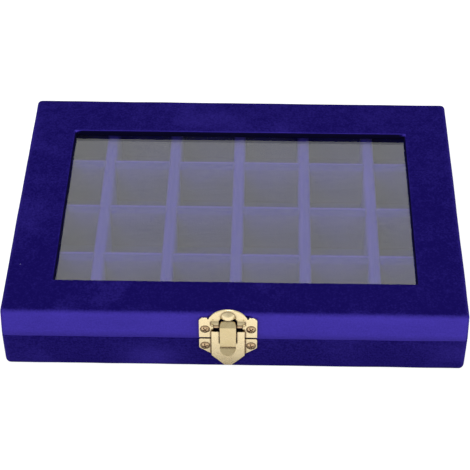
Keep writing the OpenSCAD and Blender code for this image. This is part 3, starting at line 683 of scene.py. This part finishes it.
lining_velvet = velvet("lining_velvet", LINING_SHADED, LINING_LIT, patchiness=0.04, sheen=0.06)
divider_velvet = velvet("divider_velvet", LINING_SHADED, VELVET_LIT, patchiness=0.06, sheen=0.3)
dress(lining_velvet, "tray_floor_pad")
dress(lining_velvet, *(f"tray_liner_{side}" for side in SIDES))
dress(lining_velvet, *(f"glazing_strip_{side}" for side in SIDES))
# The boards of the window frame show from inside, where the velvet is turned in under them
dress(lining_velvet, *(f"lid_{side}_rail" for side in SIDES))


def softened(node, radius, steps):
    """A copy of a CAD node's mesh with its sharp outer edges rounded."""
    bm = bmesh.new()
    bm.from_mesh(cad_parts[node].data)
    bmesh.ops.remove_doubles(bm, verts=bm.verts, dist=CLOSE / 10)
    bmesh.ops.dissolve_limit(bm, angle_limit=NEARLY_FLAT, verts=bm.verts, edges=bm.edges)
    sharp = [edge for edge in bm.edges if edge.is_convex and edge.calc_face_angle() > SHARP]
    bmesh.ops.bevel(bm, geom=sharp, offset=radius, offset_type="OFFSET", segments=steps,
                    profile=0.5, affect="EDGES", material=-1, clamp_overlap=True)
    for edge in bm.edges:
        edge.smooth = edge.calc_face_angle(0) < SHARP
    return bm


for node in [f"row_divider_{i}" for i in ROWS] + [f"column_divider_{i}" for i in COLUMNS]:
    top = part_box(node)[1].z
    kind = node.split("_")[0]
    top_nap, rim_nap, side_nap = DIVIDER_NAPS[kind]
    bm = softened(node, DIVIDER_ROLL, DIVIDER_STEPS)
    bm.normal_update()
    for vert in bm.verts:
        vert.co += Vector((vert.normal.x, vert.normal.y, 0)) * PILE
    divider = new_piece(node + "_velvet", bm, divider_velvet, "base")
    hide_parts(node)

    def divider_nap(point, normal):
        """Painted highlight on the rims of the rounded top, and painted shade fading down the sides
        in to the cell.
        """
        lit_rim = normal.z < FLAT_TOP if kind == "column" else normal.y > FACES_BACK
        if normal.z > FACES_UP and lit_rim:
            lean = rim_nap
        else:
            lean = top_nap + (side_nap - top_nap) * (1 - abs(normal.z))
        return lean * max(0.0, 1 - (top - point.z) / SHADED_DEPTH[kind])

    lay_nap(divider, divider_nap)


# ---------- Window ----------
# A pane of clear float glass, carried on its strips and held down by the frame. It mirrors the
# pale room, so the cells look hazy through it, and is a touch cloudy where it was wiped.
PANE_IOR = 1.82
PANE_TINT = "fafcff"
# Light that reaches the cells through the pane
PANE_SHADOW = (0.86, 0.88, 0.88, 1)
WIPED_FILM = (0.9, 0.9, 0.92, 1)
WIPED_SHARE = 0.006
WIPE_MARK = 30 * MM

float_glass, tree = new_material("float_glass")
place = add_node(tree, "TexCoord").outputs["Object"]
wiped = add_node(tree, "TexNoise", {
    "Vector": place, "Scale": 1 / WIPE_MARK, "Detail": 4.0, "Distortion": 1.0,
})
share = add_node(tree, "MapRange", {
    "Value": wiped.outputs[0],
    "From Min": NOISE_RANGE[0], "From Max": NOISE_RANGE[1],
    "To Min": 0.0, "To Max": WIPED_SHARE,
})
clear = add_node(tree, "BsdfPrincipled", {
    "Base Color": paint(PANE_TINT),
    "Roughness": 0.0,
    "IOR": PANE_IOR,
    "Transmission Weight": 1.0,
})
film = add_node(tree, "BsdfDiffuse", {"Color": WIPED_FILM})
wiped_glass = add_node(tree, "MixShader", {
    0: share.outputs[0], 1: clear.outputs[0], 2: film.outputs[0],
})
let_through = add_node(tree, "BsdfTransparent", {"Color": PANE_SHADOW})
shadow_ray = add_node(tree, "LightPath").outputs["Is Shadow Ray"]
pane = add_node(tree, "MixShader", {
    0: shadow_ray, 1: wiped_glass.outputs[0], 2: let_through.outputs[0],
})
add_node(tree, "OutputMaterial", {"Surface": pane.outputs[0]})
dress(float_glass, "glass_pane")


# ---------- Brass ----------
# Hinges and latch are stamped from brass sheet and gilt plated, a pale champagne gold that is
# satin from the plating, with fine rolling marks. The lever's plating is a little deeper, and
# the screws and pins are darker and pinker.
GILT = "f0e0b8"
GILT_DEEP = "dfca9c"
LEVER_GILT = "d9c89e"
LEVER_DEEP = "c6b284"
SCREW_BRASS = "d8be97"
SCREW_DEEP = "c3a37d"
PLATING_CLOUD = 3 * MM
# What the clouds take off the roughness and add to it
CLOUD_ROUGHNESS = (-0.06, 0.08)
ROLLING_MARK = 0.25 * MM
ROLLING_DEPTH = 0.05 * MM
# Tarnish and dust left in the corners, the screw slots and the gaps, with painted shade there
SHADE_AND_TARNISH = "4a2818"
SHADE_AND_TARNISH_REACH = 1.1 * MM
STAMPED_EDGE = 0.32 * MM
LEVER_BEND = 0.5 * MM
EDGE_STEPS = 3
# Lower and upper end of the louvres, their two sides from the latch's middle, and how far they
# rise from the plate, in a curve of this power
LOUVRE_HEIGHT = (28.32 * MM, 30.3 * MM)
LOUVRE_REACH = (3.9 * MM, 7.4 * MM)
LOUVRE_RISE = 1.8 * MM
LOUVRE_CURVE = 2.2
LOUVRE_STEPS = 6
# How far the plate's face stands off the velvet
PLATE_FACE = 0.96 * MM


def brass(name, light, deep, roughness, shade_and_tarnish_below, fade):
    """Plated brass. Where a point is less open than its threshold, painted shade and tarnish grow
    over fade.
    """
    material, tree = new_material(name)
    place = add_node(tree, "TexCoord").outputs["Object"]
    cloud = add_node(tree, "TexNoise", {
        "Vector": place, "Scale": 1 / PLATING_CLOUD, "Detail": 4.0,
    }).outputs[0]
    worn = add_node(tree, "MapRange", {
        "Value": cloud,
        "From Min": NOISE_RANGE[0], "From Max": NOISE_RANGE[1],
        "To Min": roughness + CLOUD_ROUGHNESS[0], "To Max": roughness + CLOUD_ROUGHNESS[1],
    })
    marks = add_node(tree, "TexNoise", {"Vector": place, "Scale": 1 / ROLLING_MARK, "Detail": 3.0})
    uneven = add_node(tree, "Bump", {
        "Height": marks.outputs[0], "Strength": 0.12, "Distance": ROLLING_DEPTH,
    })
    # Painted shade and tarnish, darker where nearby metal closes a point in
    openness = add_node(tree, "AmbientOcclusion", {"Distance": SHADE_AND_TARNISH_REACH},
                        samples=OCCLUSION_RAYS)
    clean_and_unshaded = add_node(tree, "MapRange", {
        "Value": openness.outputs["AO"], "From Min": shade_and_tarnish_below - fade, "From Max": shade_and_tarnish_below,
    })
    plating = add_node(tree, "Mix", {0: cloud, 6: paint(deep), 7: paint(light)},
                       data_type="RGBA")
    shaded_and_aged = add_node(tree, "Mix", {
        0: clean_and_unshaded.outputs[0], 6: paint(SHADE_AND_TARNISH), 7: plating.outputs[2],
    }, data_type="RGBA")
    metal = add_node(tree, "BsdfPrincipled", {
        "Base Color": shaded_and_aged.outputs[2],
        "Metallic": 1.0,
        "Roughness": worn.outputs[0],
        "Normal": uneven.outputs[0],
    })
    add_node(tree, "OutputMaterial", {"Surface": metal.outputs[0]})
    return material


def roll_louvres(bm):
    """Bends the louvres over the pin, which leave the plate gently and turn out at their edge."""
    low, high = LOUVRE_HEIGHT
    rise = high - low
    cut_across(bm, 2, [low + rise * i / LOUVRE_STEPS for i in range(1, LOUVRE_STEPS)])
    for vert in bm.verts:
        along = (high - vert.co.z) / rise
        across = abs(vert.co.x - LATCH_X)
        out = lid_low.y - vert.co.y
        in_louvre = 0 < along < 1 and LOUVRE_REACH[0] < across < LOUVRE_REACH[1]
        if in_louvre and out > PLATE_FACE:
            out -= LOUVRE_RISE * (along - along ** LOUVRE_CURVE)
            vert.co.y = lid_low.y - max(PLATE_FACE, out)


gilt_brass = brass("gilt_brass", GILT, GILT_DEEP, roughness=0.26, shade_and_tarnish_below=0.98, fade=0.28)
# The lever's painted shade also draws a dark line along the crease above its lip
lever_brass = brass("lever_gilt_brass", LEVER_GILT, LEVER_DEEP,
                    roughness=0.26, shade_and_tarnish_below=0.985, fade=0.12)
screw_brass = brass("plated_brass_screws", SCREW_BRASS, SCREW_DEEP,
                    roughness=0.3, shade_and_tarnish_below=0.98, fade=0.28)
for node, body, edge, plating in (
    ("latch_catch_plate", "lid", STAMPED_EDGE, gilt_brass),
    ("latch_keeper_plate", "base", STAMPED_EDGE, gilt_brass),
    ("latch_lever", "lever", LEVER_BEND, lever_brass),
):
    bm = softened(node, edge, EDGE_STEPS)
    if node == "latch_catch_plate":
        roll_louvres(bm)
    stamping = new_piece(node + "_gilt", bm, plating, body)
    # Flat faces stay flat, and only the rounded edges between them turn
    stamping.modifiers.new("flat_faces", "WEIGHTED_NORMAL").keep_sharp = True
    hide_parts(node)
dress(gilt_brass, *(f"hinge_{side}_{part}_leaf"
                    for side in ("left", "right") for part in ("base", "lid")))
dress(screw_brass, "hinge_left_pin", "hinge_right_pin", "hinge_base_screws", "hinge_lid_screws",
      "latch_catch_screws", "latch_keeper_screws", "latch_pin")
